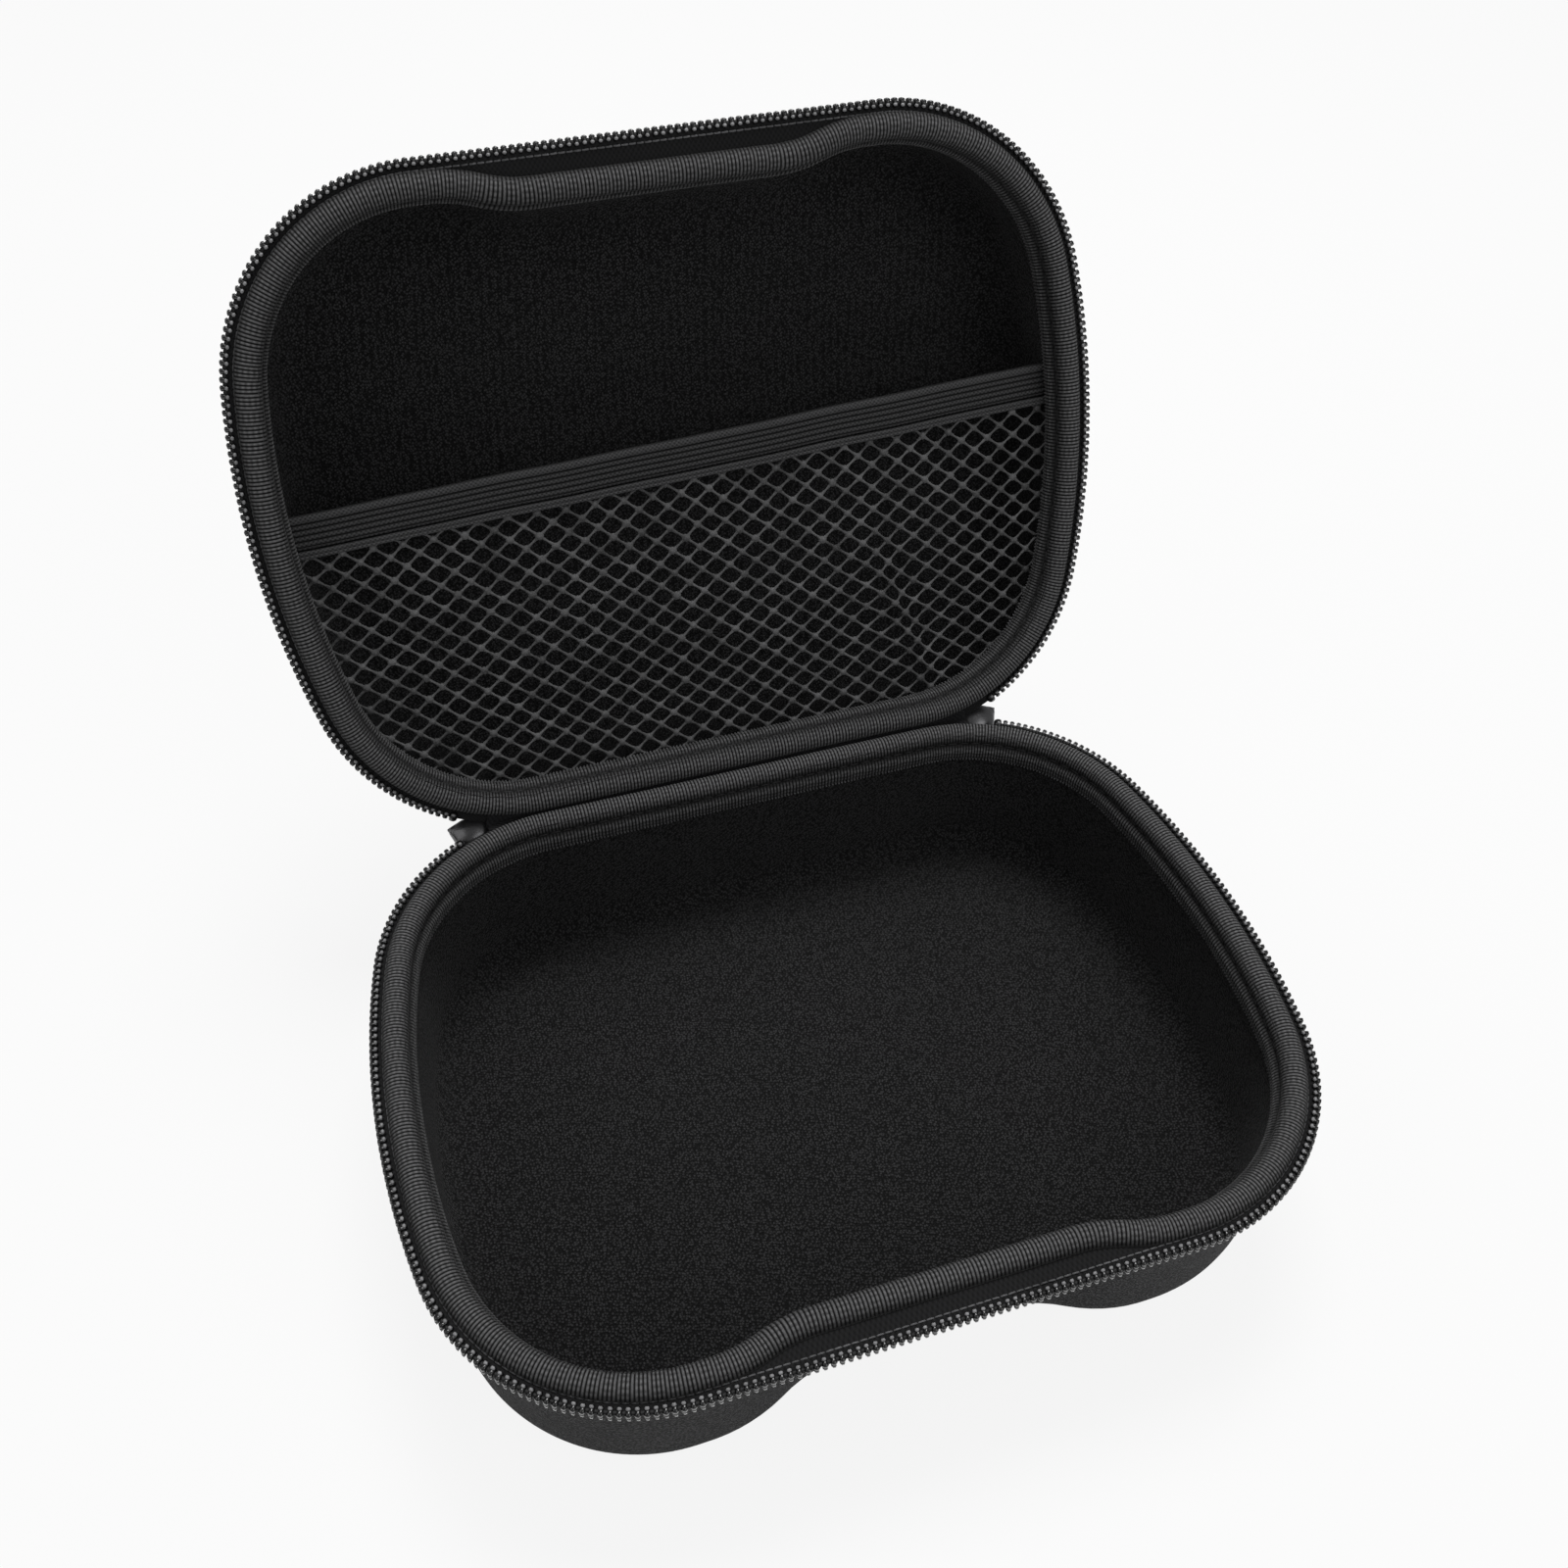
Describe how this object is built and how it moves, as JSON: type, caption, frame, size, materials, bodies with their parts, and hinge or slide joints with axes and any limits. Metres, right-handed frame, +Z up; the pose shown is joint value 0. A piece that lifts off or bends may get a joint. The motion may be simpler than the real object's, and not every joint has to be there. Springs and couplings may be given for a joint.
{
  "type": "controller carrying case",
  "caption": "Padded hard case with a deep base tray, a hinged lid with a net pocket, coil zip round three sides and a bound rim.",
  "frame": {"origin": "on the ground plane below the middle of the base tray's rim plan", "axes": "+Z up, +Y from the front waist to the hinge, +X to the right; the lid stands open and leans back over +Y"},
  "size_m": [0.19, 0.2196, 0.1695],
  "materials": {
    "outer_fabric": "woven twill, matt charcoal",
    "foam_board": "closed cell foam board, matt",
    "lining": "knitted jersey, near black",
    "binding": "ribbed binding tape, charcoal",
    "zipper_tape": "woven zip tape, black",
    "zipper_coil": "moulded nylon, satin black",
    "zipper_stop": "moulded nylon, satin black",
    "hinge_cloth": "woven strip, black",
    "slider_metal": "cast metal, dull gunmetal coat",
    "elastic": "ribbed elastic, black",
    "net": "knotted net thread, charcoal"
  },
  "bodies": {
    "base_tray": {"base_fabric": "outer_fabric", "base_foam_board": "foam_board", "base_lining": "lining", "base_binding": "binding", "base_zipper_tape": "zipper_tape", "base_zipper_coil": "zipper_coil", "base_zipper_stops": "zipper_stop", "hinge_strip_base_leaf": "hinge_cloth", "slider_left": "slider_metal", "slider_right": "slider_metal"},
    "lid": {"lid_fabric": "outer_fabric", "lid_foam_board": "foam_board", "lid_lining": "lining", "lid_binding": "binding", "lid_zipper_tape": "zipper_tape", "lid_zipper_coil": "zipper_coil", "lid_zipper_stops": "zipper_stop", "hinge_strip_lid_leaf": "hinge_cloth", "pocket_elastic_band": "elastic", "pocket_hem": "elastic", "pocket_net": "net"},
    "pull_tab_left": {"pull_left": "slider_metal"},
    "pull_tab_right": {"pull_right": "slider_metal"}
  },
  "joints": [
    {"name": "lid_hinge", "type": "hinge", "parent": "base_tray", "child": "lid", "pos_m": [0, 0.06801, 0.044], "axis": [-1, 0, 0], "range_deg": [-115, 15]},
    {"name": "pull_left_swing", "type": "hinge", "parent": "base_tray", "child": "pull_tab_left", "pos_m": [-0.0619, 0.07309, 0.03549], "axis": [1, 0, 0], "range_deg": [-8, 45]},
    {"name": "pull_right_swing", "type": "hinge", "parent": "base_tray", "child": "pull_tab_right", "pos_m": [0.0619, 0.07309, 0.03549], "axis": [1, 0, 0], "range_deg": [-8, 45]}
  ]
}
